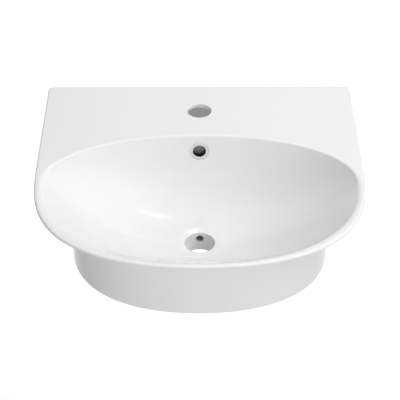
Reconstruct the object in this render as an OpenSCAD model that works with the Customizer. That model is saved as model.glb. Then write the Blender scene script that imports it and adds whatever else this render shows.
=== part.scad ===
// Wall-hung basin: a glazed ceramic casting with its overflow ring and wall fixings.
// Millimetres, Z up. The wall is the plane y = 0 and the basin hangs in front of it, towards -Y.
// The origin lies on the wall, midway between the two fixing bolts.

/* [Deck and rim] */
// Width of the basin
basin_w = 460; // [430:1:500]
// Depth of the basin, from the wall to the front of the rim
basin_d = 420; // [405:1:460]
// Height of the basin, from the rim to the foot of the apron
basin_h = 130; // [125:1:160]
// Height of the rim above the fixing bolts
rim_above_bolts = 65; // [50:1:75]
// Distance from the wall at which the straight sides start to curve in
side_run = 189; // [150:1:220]
// Fullness of the front curve across the basin, where 2 is an ellipse
front_full_x = 2.18; // [2:0.01:3]
// Fullness of the front curve from back to front, where 2 is an ellipse
front_full_d = 3.33; // [2:0.01:4]
// Radius of the deck's back corners in plan
corner_r = 8; // [4:1:16]
// Thickness of the deck and of the rim's edge
rim_t = 6; // [5:0.5:8]
// Gap left behind the deck and the apron for the sealant
seal_gap = 0.5; // [0.3:0.1:1.5]

/* [Bowl] */
// Width of the rim on each side of the bowl, to its sharp inner edge
rim_side = 10; // [8:0.5:20]
// Width of the rim in front of the bowl, to its sharp inner edge
rim_front = 5.5; // [5:0.5:15]
// Distance from the wall to the bowl's back edge
deck_run = 131.5; // [120:0.5:140]
// Distance from the wall to the widest place of the bowl
bowl_mid = 245; // [230:1:260]
// Fullness of the bowl's back edge in plan, where 2 is an ellipse
bowl_full_back = 2.1; // [2:0.01:3]
// Fullness of the bowl's front edge in plan, where 2 is an ellipse
bowl_full_front = 2.2; // [2:0.01:3]
// Depth of the bowl's floor below the rim
bowl_depth = 97; // [90:1:110]
// Slope of the bowl's sides and front just under the rim, in degrees
flare = 41; // [38:1:50]
// Bow of the floor as it nears the back wall, where a higher number keeps it flat for longer
back_floor_bow = 2.5; // [2:0.1:3.5]
// Bow of the back wall as it nears the floor, where a higher number keeps it upright for longer
back_wall_bow = 2.8; // [1.8:0.1:3.2]
// Reach of the soft edge between the bowl and the deck
edge_soft = 4.5; // [2:0.5:8]
// Thickness of the ceramic round the bowl
skin_t = 6; // [5:0.5:8]

/* [Apron] */
// Distance of the apron behind the rim on each side
apron_in_side = 45.2; // [40:0.1:60]
// Distance of the apron behind the rim at the front
apron_in_front = 50.3; // [45:0.1:65]
// Distance from the wall at which the apron's sides start to curve in
apron_run = 190; // [150:1:220]
// Fullness of the apron's curve across the basin, where 2 is an ellipse
apron_full_x = 2.13; // [2:0.01:3]
// Fullness of the apron's curve from back to front, where 2 is an ellipse
apron_full_d = 2.96; // [2:0.01:4]
// Thickness of the apron's wall
apron_t = 8; // [6:0.5:10]
// Radius of the apron's back corners in plan
apron_corner_r = 10; // [9:1:20]
// Thickness of the fixing wall at the back
back_t = 14; // [10:1:20]

/* [Tap hole, overflow and outlet] */
// Diameter of the tap hole
tap_hole_d = 35; // [32:0.5:38]
// Distance from the wall to the tap hole's centre
tap_hole_run = 67; // [55:1:72]
// Distance from the wall to the outlet's centre
outlet_run = 256; // [245:0.5:265]
// Diameter of the outlet's bore
outlet_d = 43; // [42:0.5:48]
// Diameter of the shallow cone that the waste's flange sits in
outlet_seat_d = 64; // [58:1:66]
// Depth of that cone
outlet_seat_depth = 1; // [0.5:0.5:4]
// Length of the outlet's bore below the cone
outlet_len = 31; // [22:1:34]
// Thickness of the outlet's wall
outlet_wall = 8; // [7:0.5:10]
// Depth of the overflow hole's centre below the rim
overflow_drop = 27; // [25:1:36]
// Diameter of the overflow hole in the ceramic
overflow_hole_d = 22; // [21:0.5:24]
// Clear depth of the overflow duct behind the bowl
duct_gap = 12; // [10:0.5:16]
// Clear width of the overflow duct
duct_w = 30; // [26:1:40]
// Diameter of the hole that lets the duct out into the outlet
duct_out_d = 11.5; // [8:0.5:12]

/* [Overflow ring] */
// Outer diameter of the ring's flange
ring_d = 28; // [27:0.5:32]
// Thickness of the ring's flange
ring_t = 2; // [1.5:0.1:3]
// Thickness of the ring's sleeve
ring_sleeve_t = 1.4; // [0.8:0.1:1.6]
// Length of the sleeve past the ceramic, into the duct
ring_sleeve_past = 2; // [1:0.5:4]
// Depth of the flat seat that the flange lies in
ring_seat_depth = 0.3; // [0.2:0.1:1]
// Clearance round the ring's flange and sleeve
ring_play = 0.3; // [0.2:0.1:0.6]

/* [Wall fixings] */
// Distance between the two fixing bolts
bolt_gap = 280; // [200:1:300]
// Diameter of the bolts' thread
bolt_d = 10; // [8:1:12]
// Length of the bolt in front of the wall
bolt_out = 46; // [42:1:60]
// Length of the bolt in the wall
bolt_in = 64; // [50:1:80]
// Length of the bolt's point
bolt_point = 8; // [5:1:12]
// Diameter of the fixing holes in the ceramic
fixing_hole_d = 16; // [15.6:0.1:18]
// Thickness added to the fixing wall round each hole
fixing_boss_t = 4; // [2:0.5:6]
// Diameter of that thicker place
fixing_boss_d = 40; // [34:1:44]
// Diameter of the wall plugs
plug_d = 14; // [13:0.5:15]
// Length of the wall plugs
plug_len = 70; // [60:1:90]
// Height that a wall plug's lip stands out of the wall
plug_lip = 1; // [0.5:0.5:2]
// Thickness of the bush's sleeve
bush_t = 2.3; // [1.5:0.1:2.4]
// Diameter of the bush's flange
bush_flange_d = 28; // [24:1:32]
// Thickness of the bush's flange
bush_flange_t = 3; // [2:0.5:4]
// Diameter of the washers
washer_d = 24; // [20:1:28]
// Thickness of the washers
washer_t = 2; // [1.5:0.5:3]
// Width of the nuts across their flats
nut_w = 17; // [15:1:19]
// Thickness of the nuts
nut_t = 8.4; // [6:0.1:12]
// Clearance between a bolt and what it passes through
bolt_play = 0.2; // [0.1:0.1:0.3]

/* [Hidden] */

ceramic_white = [0.93, 0.93, 0.92];
chrome = [0.78, 0.79, 0.80];
zinc = [0.66, 0.67, 0.69];
nylon_grey = [0.55, 0.56, 0.58];
nylon_white = [0.88, 0.88, 0.86];

// Steps of the mesh: directions from the front to a back corner, round it, and along the back
front_steps = 30;
corner_steps = 3;
back_steps = 9;
bowl_steps = 14;
soft_steps = 3;
under_steps = 10;
duct_steps = 14;
round_fn = 96;
// Least land left flat on the rim between its two soft edges, as a share of its width
rim_land_share = 0.2;
// Depth that one form runs into the next, so that they join
bite = 2;

half_w = basin_w / 2;
mouth_half_w = half_w - rim_side;
mouth_front_run = basin_d - rim_front;
apron_half_w = half_w - apron_in_side;
apron_front_run = basin_d - apron_in_front;
floor_r = outlet_seat_d / 2 + 2;
outlet_r = outlet_d / 2;
outlet_top = -bowl_depth - outlet_seat_depth;
outlet_foot = outlet_top - outlet_len;
duct_out_z = -bowl_depth - skin_t - duct_gap / 2;
boss_face = back_t + fixing_boss_t;
overflow_r = overflow_hole_d / 2;

// A place on the ray that leaves the outlet's centre in direction a: x, then distance from the wall
function ray(a, r) = [r * cos(a), outlet_run - r * sin(a)];

// The place on a ray where a plan shape ends: inside is negative and outside is positive
function edge_on_ray(a, shape, near = 0, far = 600, left = 26) =
    let (r = (near + far) / 2)
    left == 0 ? r :
    shape(ray(a, r)) > 0 ? edge_on_ray(a, shape, near, r, left - 1) :
    edge_on_ray(a, shape, r, far, left - 1);

// Plan shape with a straight back and sides, round back corners and a full curved front
function shield(p, half, run, front, full_x, full_d, r, back) =
    let (x = abs(p[0]), d = p[1], side = x - (half - r), rear = (back + r) - d)
    d > run ? pow(x / half, full_x) + pow((d - run) / (front - run), full_d) - 1 :
    side > 0 && rear > 0 ? norm([side, rear]) - r :
    max(side, rear) - r;

function deck_r(a, inset) =
    edge_on_ray(a, function(p) shield(p, half_w - inset, side_run, basin_d - inset,
        front_full_x, front_full_d, corner_r - inset, seal_gap + inset));

function apron_r(a, inset) =
    edge_on_ray(a, function(p) shield(p, apron_half_w - inset, apron_run, apron_front_run - inset,
        apron_full_x, apron_full_d, apron_corner_r - inset, seal_gap + inset));

function mouth_shape(p) =
    let (
        behind = p[1] < bowl_mid,
        reach = behind ? bowl_mid - deck_run : mouth_front_run - bowl_mid,
        full = behind ? bowl_full_back : bowl_full_front
    )
    pow(abs(p[0]) / mouth_half_w, full) + pow(abs(p[1] - bowl_mid) / reach, full) - 1;

function mouth_r(a) = edge_on_ray(a, function(p) mouth_shape(p));

// How far a direction belongs to the bowl's upright back wall: 0 at the sides and 1 at the back
function backness(a) =
    let (t = min(1, max(0, (sin(a) + 0.1) / 1.1)))
    t * t * (3 - 2 * t);

function floor_bow(a, mouth) =
    let (side = max(1.1, tan(flare) * (mouth - floor_r) / bowl_depth))
    side + (back_floor_bow - side) * backness(a);

function wall_bow(a) = 1 + (back_wall_bow - 1) * backness(a);

// Shares that lie closer together where the surface bends most, for t from 0 at the floor to 1, and back
function share_on_curve(a, mouth, t) = pow(sin(90 * t), 2 / floor_bow(a, mouth));

function curve_at(a, mouth, u) = asin(min(1, pow(u, floor_bow(a, mouth) / 2))) / 90;

// Height of the bowl's surface at the share u of the way from the floor's edge to the mouth
function bowl_z(a, mouth, u) =
    -bowl_depth * pow(1 - pow(min(1, max(0, u)), floor_bow(a, mouth)), 1 / wall_bow(a));

// The same place pushed out through the ceramic by a distance: radius, then height
function bowl_place(a, mouth, u, out) =
    let (
        span = mouth - floor_r,
        step = 0.004,
        high = min(1, u + step),
        low = max(0, u - step),
        run = (high - low) * span,
        rise = bowl_z(a, mouth, high) - bowl_z(a, mouth, low),
        slope_len = norm([run, rise])
    )
    [floor_r + u * span + out * rise / slope_len, bowl_z(a, mouth, u) - out * run / slope_len];

// The share u at which the pushed-out surface passes a height
function share_at(a, mouth, z, out, low = 0, high = 1, left = 20) =
    let (u = (low + high) / 2)
    left == 0 ? u :
    bowl_place(a, mouth, u, out)[1] > z ? share_at(a, mouth, z, out, low, u, left - 1) :
    share_at(a, mouth, z, out, u, high, left - 1);

// Height of the middle of the ceramic at a radius, under the bowl or under the deck
function middle_z(a, mouth, r) =
    let (
        u = (r - floor_r) / (mouth - floor_r),
        here = bowl_place(a, mouth, min(1, u), 0),
        below = bowl_place(a, mouth, min(1, u), 1),
        level = max(0.2, here[1] - below[1])
    )
    u >= 1 ? -rim_t / 2 : min(-rim_t / 2, here[1] - skin_t / (2 * level));

// Directions on the right-hand side, from the front to the back, closer together at a back corner
function half_turn(half, r) =
    let (
        from = atan2(outlet_run - seal_gap - r, half),
        to = atan2(outlet_run - seal_gap, half - r)
    )
    concat(
        [for (i = [0 : front_steps - 1]) -90 + (from + 90) * i / front_steps],
        [for (i = [0 : corner_steps]) from + (to - from) * i / corner_steps],
        [for (i = [1 : back_steps]) to + (90 - to) * i / back_steps]
    );

function full_turn(half, r) =
    let (right = half_turn(half, r), last = len(right) - 1)
    concat(right, [for (i = [last - 1 : -1 : 1]) 180 - right[i]]);

function at(a, r, z) =
    let (p = ray(a, r))
    [p[0], -p[1], z];

// Soft edge from the bowl's wall to the deck, drawn as a curve that heads for the sharp corner
function soft_edge(start, corner, end, t) =
    (1 - t) * (1 - t) * start + 2 * t * (1 - t) * corner + t * t * end;

// Radius and height down the whole casting in one direction: up the bowl, over the rim and back under
function casting_line(a) =
    let (
        mouth = mouth_r(a),
        round_r = rim_t / 2,
        land = deck_r(a, round_r),
        soft = min(edge_soft, (land - mouth) * (1 - rim_land_share)),
        drop = share_at(a, mouth, -soft * 0.65, 0),
        top = curve_at(a, mouth, drop),
        start = bowl_place(a, mouth, drop, 0),
        corner = [mouth, 0],
        end = [mouth + soft, 0],
        under = share_at(a, mouth, -rim_t, skin_t),
        under_top = curve_at(a, mouth, under),
        under_place = bowl_place(a, mouth, under, skin_t)
    )
    concat(
        [for (i = [0 : bowl_steps])
            bowl_place(a, mouth, share_on_curve(a, mouth, top * i / bowl_steps), 0)],
        [for (i = [1 : soft_steps]) soft_edge(start, corner, end, i / soft_steps)],
        [for (t = [0 : 30 : 180]) [deck_r(a, round_r * (1 - sin(t))), -round_r * (1 - cos(t))]],
        [[min(under_place[0], land - rim_land_share), -rim_t]],
        [for (i = [1 : under_steps])
            bowl_place(a, mouth, share_on_curve(a, mouth, under_top * (1 - i / under_steps)), skin_t)]
    );

// Faces between rings of n places each, with the first and last rings closed or joined to each other
function ring_faces(rings, n, loop) =
    concat(
        [for (i = [0 : rings - (loop ? 1 : 2)]) for (j = [0 : n - 1])
            let (k = (i + 1) % rings, m = (j + 1) % n)
            each j < n / 2 ?
                [[i * n + j, i * n + m, k * n + m], [i * n + j, k * n + m, k * n + j]] :
                [[i * n + j, i * n + m, k * n + j], [i * n + m, k * n + m, k * n + j]]],
        loop ? [] : [[for (j = [n - 1 : -1 : 0]) j], [for (j = [0 : n - 1]) (rings - 1) * n + j]]
    );

// Surface swept through rings, given as one line of radius and height for each direction
module turned(turn, lines, loop) {
    n = len(turn);
    rings = len(lines[0]);
    points = [for (i = [0 : rings - 1]) for (j = [0 : n - 1]) at(turn[j], lines[j][i][0], lines[j][i][1])];
    polyhedron(points, ring_faces(rings, n, loop), convexity = 8);
}

module casting() {
    turn = full_turn(half_w, corner_r);
    turned(turn, [for (a = turn) casting_line(a)], false);
}

// Apron: an upright wall whose top follows the middle of the ceramic above it
function apron_line(a) =
    let (
        mouth = mouth_r(a),
        outer = apron_r(a, 0),
        inner = apron_r(a, apron_t),
        mid = (outer + inner) / 2
    )
    [
        [outer, middle_z(a, mouth, outer)], [outer, -basin_h],
        [inner, -basin_h], [inner, middle_z(a, mouth, inner)],
        [mid, middle_z(a, mouth, mid)]
    ];

module apron() {
    turn = full_turn(apron_half_w, apron_corner_r);
    turned(turn, [for (a = turn) apron_line(a)], true);
}

module fixing_wall() {
    wall_w = 2 * (apron_half_w - apron_t / 2);
    translate([-wall_w / 2, -back_t, -basin_h + bite])
        cube([wall_w, back_t, basin_h - bite - rim_t / 3]);
}

// Slice through the overflow duct, from above the overflow hole down to the outlet
module duct_slice(inner, outer, top, foot_r) {
    mouth = mouth_r(90);
    start = curve_at(90, mouth, share_at(90, mouth, top, 0));
    places = [for (i = [0 : duct_steps]) share_on_curve(90, mouth, start * (1 - i / duct_steps))];
    near = [for (u = places) bowl_place(90, mouth, u, inner)];
    away = [for (u = places) bowl_place(90, mouth, u, outer)];
    foot = [[foot_r, -bowl_depth - inner], [foot_r, -bowl_depth - outer]];
    polygon(concat(
        near, foot,
        [for (i = [duct_steps : -1 : 0]) away[i]],
        [[away[0][0], top]]
    ));
}

module duct_form(inner, outer, top, foot_r, w) {
    translate([-w / 2, -outlet_run, 0])
        rotate([90, 0, 90])
            linear_extrude(w) duct_slice(inner, outer, top, foot_r);
}

// Frame of the overflow hole: its centre on the bowl's back wall, its Z axis square out of the wall
module at_overflow() {
    mouth = mouth_r(90);
    u = share_at(90, mouth, -overflow_drop, 0);
    face = bowl_place(90, mouth, u, 0);
    behind = bowl_place(90, mouth, u, 1);
    translate([0, face[0] - outlet_run, face[1]])
        rotate([90 - atan2(face[1] - behind[1], behind[0] - face[0]), 0, 0])
            children();
}

module at_outlet() {
    translate([0, -outlet_run, 0]) children();
}

// Both fixing holes, seen from the rim: their Z axis runs out of the wall, towards the front
module at_bolts() {
    for (side = [-1, 1])
        translate([side * bolt_gap / 2, 0, -rim_above_bolts]) rotate([90, 0, 0]) children();
}

module at_rim() {
    translate([0, 0, rim_above_bolts]) children();
}

module basin() {
    duct_top = -overflow_drop + overflow_r + bite;
    color(ceramic_white) at_rim() difference() {
        union() {
            casting();
            apron();
            fixing_wall();
            duct_form(skin_t / 2, duct_gap + 2 * skin_t, -rim_t / 2, outlet_r + outlet_wall / 2,
                duct_w + 2 * skin_t);
            at_outlet() translate([0, 0, outlet_foot])
                cylinder(h = outlet_len + outlet_seat_depth - skin_t / 2, d = outlet_d + 2 * outlet_wall,
                    $fn = round_fn);
            at_bolts() translate([0, 0, back_t - bite])
                cylinder(h = fixing_boss_t + bite, d = fixing_boss_d, $fn = round_fn);
        }
        duct_form(skin_t, skin_t + duct_gap, duct_top, outlet_r + outlet_wall / 2 + 1, duct_w);
        at_outlet() {
            translate([0, 0, outlet_foot - bite])
                cylinder(h = outlet_len + outlet_seat_depth + 2 * bite, d = outlet_d, $fn = round_fn);
            translate([0, 0, outlet_top])
                cylinder(h = outlet_seat_depth, d1 = outlet_d, d2 = outlet_seat_d, $fn = round_fn);
            translate([0, 0, duct_out_z])
                rotate([-90, 0, 0]) cylinder(h = outlet_r + outlet_wall, d = duct_out_d, $fn = round_fn);
        }
        translate([0, -tap_hole_run, -rim_t - bite])
            cylinder(h = rim_t + 2 * bite, d = tap_hole_d, $fn = round_fn);
        at_overflow() {
            translate([0, 0, -skin_t - bite])
                cylinder(h = skin_t + 2 * bite, d = overflow_hole_d, $fn = round_fn);
            translate([0, 0, -ring_seat_depth])
                cylinder(h = ring_t + bite, d = ring_d + 2 * ring_play, $fn = round_fn);
        }
        at_bolts() translate([0, 0, -bite])
            cylinder(h = boss_face + 2 * bite, d = fixing_hole_d, $fn = round_fn);
    }
}

// Chrome ring: a domed flange and a sleeve that pushes into the overflow hole
module overflow_ring() {
    sleeve_r = overflow_r - ring_play;
    bore_r = sleeve_r - ring_sleeve_t;
    color(chrome) at_rim() at_overflow() translate([0, 0, -ring_seat_depth])
        rotate_extrude($fn = round_fn) polygon([
            [bore_r, -skin_t - ring_sleeve_past], [sleeve_r, -skin_t - ring_sleeve_past],
            [sleeve_r, 0], [ring_d / 2, 0], [ring_d / 2, ring_t * 0.4],
            [ring_d / 2 - ring_t * 0.4, ring_t * 0.85], [(ring_d / 2 + bore_r) / 2, ring_t],
            [bore_r + ring_t * 0.4, ring_t * 0.85], [bore_r, ring_t * 0.4]
        ]);
}

// Frame of one fixing bolt on the wall: its Z axis runs out of the wall, towards the front
module at_bolt(side) {
    translate([side * bolt_gap / 2, 0, 0]) rotate([90, 0, 0]) children();
}

module wall_plug(side) {
    color(nylon_grey) at_bolt(side) difference() {
        translate([0, 0, plug_lip - plug_len]) cylinder(h = plug_len, d = plug_d, $fn = round_fn);
        translate([0, 0, -bolt_in - bite])
            cylinder(h = bolt_in + plug_lip + 2 * bite, d = bolt_d + 2 * bolt_play, $fn = round_fn);
    }
}

module hanger_bolt(side) {
    color(zinc) at_bolt(side) {
        translate([0, 0, bolt_point - bolt_in])
            cylinder(h = bolt_in - bolt_point + bolt_out, d = bolt_d, $fn = round_fn);
        translate([0, 0, -bolt_in])
            cylinder(h = bolt_point, d1 = bolt_d / 5, d2 = bolt_d, $fn = round_fn);
    }
}

module bush(side) {
    bore_r = bolt_d / 2 + bolt_play;
    color(nylon_white) at_bolt(side) rotate_extrude($fn = round_fn) polygon([
        [bore_r, plug_lip + bolt_play], [bore_r + bush_t, plug_lip + bolt_play],
        [bore_r + bush_t, boss_face], [bush_flange_d / 2, boss_face],
        [bush_flange_d / 2, boss_face + bush_flange_t], [bore_r, boss_face + bush_flange_t]
    ]);
}

module washer(side) {
    color(zinc) at_bolt(side) translate([0, 0, boss_face + bush_flange_t]) difference() {
        cylinder(h = washer_t, d = washer_d, $fn = round_fn);
        translate([0, 0, -bite]) cylinder(h = washer_t + 2 * bite, d = bolt_d + 2 * bolt_play, $fn = round_fn);
    }
}

module nut(side) {
    color(zinc) at_bolt(side) translate([0, 0, boss_face + bush_flange_t + washer_t]) difference() {
        cylinder(h = nut_t, d = nut_w / cos(30), $fn = 6);
        translate([0, 0, -bite]) cylinder(h = nut_t + 2 * bite, d = bolt_d + 2 * bolt_play, $fn = round_fn);
    }
}

basin();
overflow_ring();
wall_plug(-1);  // wall_plug_left
wall_plug(1);  // wall_plug_right
hanger_bolt(-1);  // hanger_bolt_left
hanger_bolt(1);  // hanger_bolt_right
bush(-1);  // bush_left
bush(1);  // bush_right
washer(-1);  // washer_left
washer(1);  // washer_right
nut(-1);  // nut_left
nut(1);  // nut_right
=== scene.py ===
import math

import bmesh
import bpy
from mathutils import Matrix, Vector


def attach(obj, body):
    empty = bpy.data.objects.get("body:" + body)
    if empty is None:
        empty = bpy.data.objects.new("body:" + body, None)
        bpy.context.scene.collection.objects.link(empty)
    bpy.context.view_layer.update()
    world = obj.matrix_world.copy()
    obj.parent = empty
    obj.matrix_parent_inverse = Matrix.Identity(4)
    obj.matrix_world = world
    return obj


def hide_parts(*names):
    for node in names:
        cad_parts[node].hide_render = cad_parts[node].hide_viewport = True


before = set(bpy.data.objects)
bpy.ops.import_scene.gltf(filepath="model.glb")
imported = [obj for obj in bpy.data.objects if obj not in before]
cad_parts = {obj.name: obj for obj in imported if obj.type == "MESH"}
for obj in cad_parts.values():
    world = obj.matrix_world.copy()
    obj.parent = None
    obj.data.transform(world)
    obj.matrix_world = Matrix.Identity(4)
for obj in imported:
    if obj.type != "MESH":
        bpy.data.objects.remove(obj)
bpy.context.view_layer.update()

# Camera
# It looks down at the basin from in front, from 1.74 m away, through a long lens. Its place comes from
# the outlines of the rim, the bowl and the tap hole.
RIM_Z = 65.0  # height of the rim above the fixing bolts, in mm, as is every size below
VIEW_AIM = (0.1, -283.2, 65.5)  # the place that the camera looks at
VIEW_RUN = 1741.4  # distance from it
VIEW_DROP = math.radians(38.22)
VIEW_SIDE = math.radians(-0.27)  # the camera stands a touch to the left
LENS = 115.4
SENSOR = 36


def metres(point):
    """A place in millimetres, in the metres that the scene is drawn in."""
    return Vector(point) / 1000


camera = bpy.data.objects.new("camera", bpy.data.cameras.new("camera"))
camera.data.lens = LENS
camera.data.sensor_width = SENSOR
camera.rotation_euler = (math.pi / 2 - VIEW_DROP, 0, VIEW_SIDE)
from_aim = Vector((0, -math.cos(VIEW_DROP), math.sin(VIEW_DROP))) * VIEW_RUN / 1000
camera.location = metres(VIEW_AIM) + Matrix.Rotation(VIEW_SIDE, 3, "Z") @ from_aim
bpy.context.scene.collection.objects.link(camera)
bpy.context.scene.camera = camera

# Basin: the casting
# One piece of vitreous china, slip-cast in a plaster mould, sprayed with white glaze and fired. It is
# drawn as one skin of lines, each running from the bowl's floor over the rim, down the apron and back
# under the bowl into the outlet, so that every edge is as soft as the glaze leaves it.
BASIN_W = 460
BASIN_D = 420
BASIN_H = 130
SIDE_RUN = 189  # distance from the wall at which the deck's straight sides start to curve in
FRONT_FULL_X = 2.18  # fullness of the front curve across the basin, where 2 is an ellipse
FRONT_FULL_D = 3.33  # and from back to front
CORNER_R = 8
RIM_T = 6
SEAL_GAP = 0.5  # left behind the deck and the apron for the sealant
RIM_SIDE = 10  # width of the rim beside the bowl, to its sharp inner edge
RIM_FRONT = 5.5
DECK_RUN = 131.5  # from the wall to the bowl's back edge
BOWL_MID = 245  # from the wall to the widest place of the bowl
BOWL_FULL_BACK = 2.1
BOWL_FULL_FRONT = 2.2
BOWL_DEPTH = 97
FLARE = math.radians(41)  # slope of the bowl's sides and front just under the rim
BACK_FLOOR_BOW = 2.5  # higher keeps the floor flat for longer as it nears the back wall
BACK_WALL_BOW = 2.8  # higher keeps the back wall upright for longer as it nears the floor
EDGE_SOFT = 4.5  # reach of the soft edge between the bowl and the deck
EDGE_SOFT_DOWN = 0.65  # share of that reach that it takes down the bowl's wall
SKIN_T = 6  # thickness of the china round the bowl
APRON_IN_SIDE = 45.2  # distance of the apron in from the rim
APRON_IN_FRONT = 50.3
APRON_RUN = 190  # distance from the wall at which the apron's sides start to curve in
APRON_FULL_X = 2.13
APRON_FULL_D = 2.96
APRON_T = 8
APRON_CORNER_R = 10
OUTLET_RUN = 256  # from the wall to the outlet's centre
OUTLET_R = 21.5
SEAT_R = 32  # cone round the outlet that the waste's flange sits in
SEAT_DEPTH = 1
OUTLET_LEN = 31
OUTLET_WALL = 8
FLOOR_R = SEAT_R + 2  # flat floor round the outlet
FOOT_SOFT = 2.5  # radius left on the apron's ground foot
JOIN_SOFT = 6  # radius where the apron runs into the bowl
LIP_SOFT = 0.8  # radius that the glaze leaves on the outlet's edges
OPEN_GAP = 9  # step in from the rim to the apron from which the rim's underside is drawn in full
SHUT_DROP = 3  # height that the underside gives up where there is no such step
FAR_OUT = 600.0  # further from the outlet than any edge of the basin
BOWL_STEPS = 48  # steps of a line up the bowl
CEILING_STEPS = 70  # and of the path back under it
LINE_STEP = 1.5  # degrees from one line of the skin to the next
CORNER_FROM = 45  # directions, in degrees, between which a back corner needs closer lines
CORNER_TO = 56.5
CORNER_STEP = 0.25
BACK_LINES = 22  # lines from there to the middle of the back


def ray(turn, r):
    """A place on the ray that leaves the outlet in a direction: x, then distance from the wall."""
    return r * math.cos(turn), OUTLET_RUN - r * math.sin(turn)


def edge_on_ray(turn, shape):
    """Radius at which the ray leaves a plan shape, whose inside is negative."""
    near, far = 0.0, FAR_OUT
    for _ in range(34):  # each halves what is left, down to far less than the skin needs
        middle = (near + far) / 2
        if shape(*ray(turn, middle)) > 0:
            far = middle
        else:
            near = middle
    return near


def shield(x, d, half, run, front, full_x, full_d, corner, back):
    """Plan shape with a straight back and sides, round back corners and a full curved front."""
    x = abs(x)
    if d > run:
        return (x / half) ** full_x + ((d - run) / (front - run)) ** full_d - 1
    side = x - (half - corner)
    rear = back + corner - d
    if side > 0 and rear > 0:
        return math.hypot(side, rear) - corner
    return max(side, rear) - corner


def deck_r(turn, inset=0.0):
    """Radius of the deck's edge in one direction."""
    return edge_on_ray(turn, lambda x, d: shield(
        x, d, BASIN_W / 2 - inset, SIDE_RUN, BASIN_D - inset, FRONT_FULL_X, FRONT_FULL_D,
        CORNER_R - inset, SEAL_GAP + inset))


def apron_r(turn, inset=0.0):
    """Radius of the apron's outer face in one direction."""
    return edge_on_ray(turn, lambda x, d: shield(
        x, d, BASIN_W / 2 - APRON_IN_SIDE - inset, APRON_RUN, BASIN_D - APRON_IN_FRONT - inset,
        APRON_FULL_X, APRON_FULL_D, APRON_CORNER_R - inset, SEAL_GAP + inset))


def mouth_shape(x, d):
    """Plan shape of the bowl's mouth, which is fuller in front than behind."""
    behind = d < BOWL_MID
    reach = BOWL_MID - DECK_RUN if behind else BASIN_D - RIM_FRONT - BOWL_MID
    full = BOWL_FULL_BACK if behind else BOWL_FULL_FRONT
    return (abs(x) / (BASIN_W / 2 - RIM_SIDE)) ** full + (abs(d - BOWL_MID) / reach) ** full - 1


def backness(turn):
    """How far a direction belongs to the upright back wall: 0 at the sides and 1 at the back."""
    t = min(1.0, max(0.0, (math.sin(turn) + 0.1) / 1.1))
    return t * t * (3 - 2 * t)


class Bowl:
    """The bowl's surface in one direction from the outlet."""

    def __init__(self, turn):
        self.mouth = edge_on_ray(turn, mouth_shape)
        side = max(1.1, math.tan(FLARE) * (self.mouth - FLOOR_R) / BOWL_DEPTH)
        back = backness(turn)
        self.floor_bow = side + (BACK_FLOOR_BOW - side) * back
        self.wall_bow = 1 + (BACK_WALL_BOW - 1) * back

    def height(self, u):
        """Height below the rim at a share u of the way from the floor to the mouth."""
        u = min(1.0, max(0.0, u))
        return -BOWL_DEPTH * (1 - u ** self.floor_bow) ** (1 / self.wall_bow)

    def place(self, u, out=0.0):
        """Radius and height at a share of the way up, pushed out through the china by a distance."""
        span = self.mouth - FLOOR_R
        high, low = min(1.0, u + 0.004), max(0.0, u - 0.004)
        run = (high - low) * span
        rise = self.height(high) - self.height(low)
        length = math.hypot(run, rise)
        return Vector((FLOOR_R + u * span + out * rise / length, self.height(u) - out * run / length))

    def share_at(self, z, out=0.0):
        """The share of the way up at which the surface, or one pushed out from it, has a height."""
        low, high = 0.0, 1.0
        for _ in range(30):
            middle = (low + high) / 2
            if self.place(middle, out)[1] > z:
                high = middle
            else:
                low = middle
        return low

    def share_on_curve(self, t):
        """Shares that lie closer together where the surface bends, for t from 0 to 1."""
        return math.sin(t * math.pi / 2) ** (2 / self.floor_bow)

    def curve_at(self, u):
        """The t at which share_on_curve gives a share."""
        return math.asin(min(1.0, u ** (self.floor_bow / 2))) * 2 / math.pi


def bend(start, corner, end, steps):
    """A soft corner from start to end, without start itself."""
    places = []
    for i in range(1, steps + 1):
        t = i / steps
        places.append(start * (1 - t) ** 2 + corner * 2 * t * (1 - t) + end * t ** 2)
    return places


def straight(start, end, steps):
    """A straight run from start to end, without start itself."""
    return [start + (end - start) * i / steps for i in range(1, steps + 1)]


def quarter(steps):
    """The angles of a quarter turn in equal steps, without its start."""
    return [math.radians(90 / steps * i) for i in range(1, steps + 1)]


class Path:
    """A line of places that can be asked for the place at a length along it."""

    def __init__(self, places):
        self.places = places
        self.lengths = [0.0]
        for a, b in zip(places, places[1:]):
            self.lengths.append(self.lengths[-1] + (b - a).length)

    def at(self, length):
        """The place at a length, held between the path's two ends."""
        length = min(max(length, 0.0), self.lengths[-1])
        for i in range(1, len(self.places)):
            if length <= self.lengths[i]:
                part = self.lengths[i] - self.lengths[i - 1]
                t = (length - self.lengths[i - 1]) / part if part else 0.0
                return self.places[i - 1].lerp(self.places[i], t)
        return self.places[-1]

    def length_at_radius(self, r):
        """The length at which the path, which runs inwards, comes in to a radius."""
        for i in range(1, len(self.places)):
            if self.places[i][0] <= r:
                a, b = self.places[i - 1], self.places[i]
                t = min(1.0, max(0.0, (a[0] - r) / max(1e-9, a[0] - b[0])))
                return self.lengths[i - 1] + (self.lengths[i] - self.lengths[i - 1]) * t
        return self.lengths[-1]

    def between(self, start, end, steps):
        """Places at equal steps from one length to another, without the first."""
        return [self.at(start + (end - start) * i / steps) for i in range(1, steps + 1)]


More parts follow.
